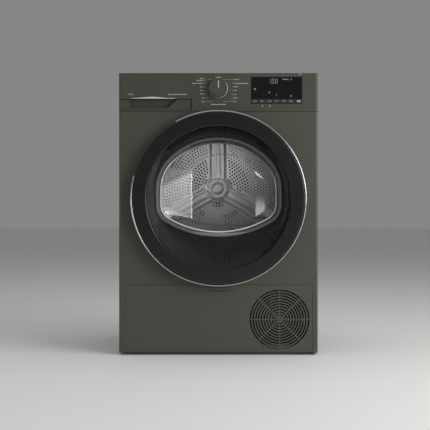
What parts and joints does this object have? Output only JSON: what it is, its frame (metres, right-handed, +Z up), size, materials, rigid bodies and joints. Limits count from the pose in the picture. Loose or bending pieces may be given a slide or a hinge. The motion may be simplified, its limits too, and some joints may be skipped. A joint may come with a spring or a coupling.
{
  "type": "clothes dryer",
  "caption": "Free-standing front-loading heat-pump clothes dryer with round glass door, programme dial, touch display, condensate tank drawer and lower service flap.",
  "frame": {"origin": "on the floor, in the middle of the overall width and depth", "axes": "+Z up, the front faces -Y, +X to the right as seen from the front"},
  "size_m": [0.597, 0.609, 0.846],
  "materials": {
    "tray": "moulded, matt",
    "paint": "satin anthracite paint",
    "paint_plastic": "satin anthracite",
    "fascia": "satin anthracite",
    "galvanised": "galvanised sheet",
    "zinc": "zinc plated",
    "display_glass": "gloss black",
    "board": "printed board",
    "chrome": "polished",
    "tank_plastic": "translucent moulding",
    "grey_plastic": "moulded",
    "dark_plastic": "moulded",
    "roller": "matt",
    "felt": "felt",
    "door_gloss": "gloss black",
    "frame_grey": "satin grey",
    "glass": "clear",
    "rubber": "matt",
    "stainless": "stainless, brushed",
    "lifter": "light grey",
    "exchanger": "finned",
    "motor": "cast",
    "compressor_black": "gloss black"
  },
  "bodies": {
    "cabinet": {"base_tray": "tray", "side_panel_left": "paint", "side_panel_right": "paint", "front_panel": "paint", "worktop": "paint", "rear_panel": "galvanised", "rear_duct_cover": "galvanised", "cabinet_screws": "zinc", "control_fascia": "fascia", "display_window": "display_glass", "control_board": "board", "dial_ring": "chrome", "tank_housing": "grey_plastic", "front_bulkhead": "grey_plastic", "drum_felt_seals": "felt", "lint_filter": "dark_plastic", "door_catch": "dark_plastic", "hinge_bracket": "zinc", "rear_bearing": "dark_plastic", "evaporator": "exchanger", "condenser": "exchanger", "heat_exchanger_cover": "grey_plastic", "blower_housing": "dark_plastic", "motor_body": "motor", "drive_belt": "rubber", "compressor": "compressor_black", "fan_shroud": "dark_plastic", "drain_pump": "dark_plastic", "pump_hose": "rubber", "mains_inlet": "dark_plastic"},
    "drum": {"drum_shell": "stainless", "drum_rear_wall": "stainless", "drum_lifters": "lifter", "hub_cap": "stainless", "drum_shaft": "zinc"},
    "motor_rotor": {"motor_rotor": "zinc", "blower_wheel": "dark_plastic"},
    "idler_arm": {"idler_arm": "zinc"},
    "idler_pulley": {"idler_pulley": "roller"},
    "roller_left": {"roller_left": "roller"},
    "roller_right": {"roller_right": "roller"},
    "cooling_fan": {"cooling_fan": "dark_plastic"},
    "door": {"door_front_ring": "door_gloss", "door_trim_ring": "chrome", "door_funnel": "door_gloss", "door_inner_frame": "grey_plastic", "window_frame": "frame_grey", "door_glass": "glass", "door_seal": "rubber", "door_hinge_leaf": "zinc", "door_hook": "dark_plastic"},
    "tank_drawer": {"tank_drawer_front": "fascia", "water_tank": "tank_plastic"},
    "program_knob": {"program_knob": "fascia"},
    "service_flap": {"service_flap": "paint_plastic"},
    "flap_button": {"flap_button": "paint_plastic"},
    "foot_front_left": {"foot_front_left": "rubber"},
    "foot_front_right": {"foot_front_right": "rubber"},
    "foot_rear_left": {"foot_rear_left": "rubber"},
    "foot_rear_right": {"foot_rear_right": "rubber"}
  },
  "joints": [
    {"name": "drum_spin", "type": "hinge", "parent": "cabinet", "child": "drum", "pos_m": [0, 0, 0.51], "axis": [0, 1, 0], "continuous": true},
    {"name": "motor_spin", "type": "hinge", "parent": "cabinet", "child": "motor_rotor", "pos_m": [0.11, 0, 0.13], "axis": [0, 1, 0], "continuous": true},
    {"name": "roller_left_spin", "type": "hinge", "parent": "cabinet", "child": "roller_left", "pos_m": [-0.16427, -0.19, 0.27539], "axis": [0, 1, 0], "continuous": true},
    {"name": "roller_right_spin", "type": "hinge", "parent": "cabinet", "child": "roller_right", "pos_m": [0.16427, -0.19, 0.27539], "axis": [0, 1, 0], "continuous": true},
    {"name": "idler_arm_pivot", "type": "hinge", "parent": "cabinet", "child": "idler_arm", "pos_m": [0.19, 0.008, 0.06], "axis": [0, 1, 0], "range_deg": [0, 12], "stiffness_Nm_per_rad": 2, "springref_deg": -20.05},
    {"name": "idler_pulley_spin", "type": "hinge", "parent": "idler_arm", "child": "idler_pulley", "pos_m": [0.16085, 0, 0.17294], "axis": [0, 1, 0], "continuous": true},
    {"name": "cooling_fan_spin", "type": "hinge", "parent": "cabinet", "child": "cooling_fan", "pos_m": [0.1835, -0.19, 0.1068], "axis": [0, 1, 0], "continuous": true},
    {"name": "door_hinge", "type": "hinge", "parent": "cabinet", "child": "door", "pos_m": [0.254, -0.286, 0.47], "axis": [0, 0, 1], "range_deg": [0, 120]},
    {"name": "tank_slide", "type": "slide", "parent": "cabinet", "child": "tank_drawer", "axis": [0, -1, 0], "range_m": [0, 0.34]},
    {"name": "program_knob_turn", "type": "hinge", "parent": "cabinet", "child": "program_knob", "pos_m": [0, -0.28, 0.8], "axis": [0, -1, 0], "continuous": true},
    {"name": "service_flap_hinge", "type": "hinge", "parent": "cabinet", "child": "service_flap", "pos_m": [0, -0.257, 0.016], "axis": [1, 0, 0], "range_deg": [0, 80]},
    {"name": "flap_button_press", "type": "slide", "parent": "service_flap", "child": "flap_button", "axis": [0, 1, 0], "range_m": [0, 0.004], "stiffness_N_per_m": 600, "springref_m": -0.001},
    {"name": "foot_front_left_screw", "type": "slide", "parent": "cabinet", "child": "foot_front_left", "axis": [0, 0, -1], "range_m": [0, 0.012]},
    {"name": "foot_front_right_screw", "type": "slide", "parent": "cabinet", "child": "foot_front_right", "axis": [0, 0, -1], "range_m": [0, 0.012]},
    {"name": "foot_rear_left_screw", "type": "slide", "parent": "cabinet", "child": "foot_rear_left", "axis": [0, 0, -1], "range_m": [0, 0.012]},
    {"name": "foot_rear_right_screw", "type": "slide", "parent": "cabinet", "child": "foot_rear_right", "axis": [0, 0, -1], "range_m": [0, 0.012]}
  ],
  "couplings": [
    {"joint": "motor_spin", "follows": "drum_spin", "ratio": 20.105},
    {"joint": "idler_pulley_spin", "follows": "drum_spin", "ratio": -17.494},
    {"joint": "roller_left_spin", "follows": "drum_spin", "ratio": -14.889},
    {"joint": "roller_right_spin", "follows": "drum_spin", "ratio": -14.889}
  ]
}
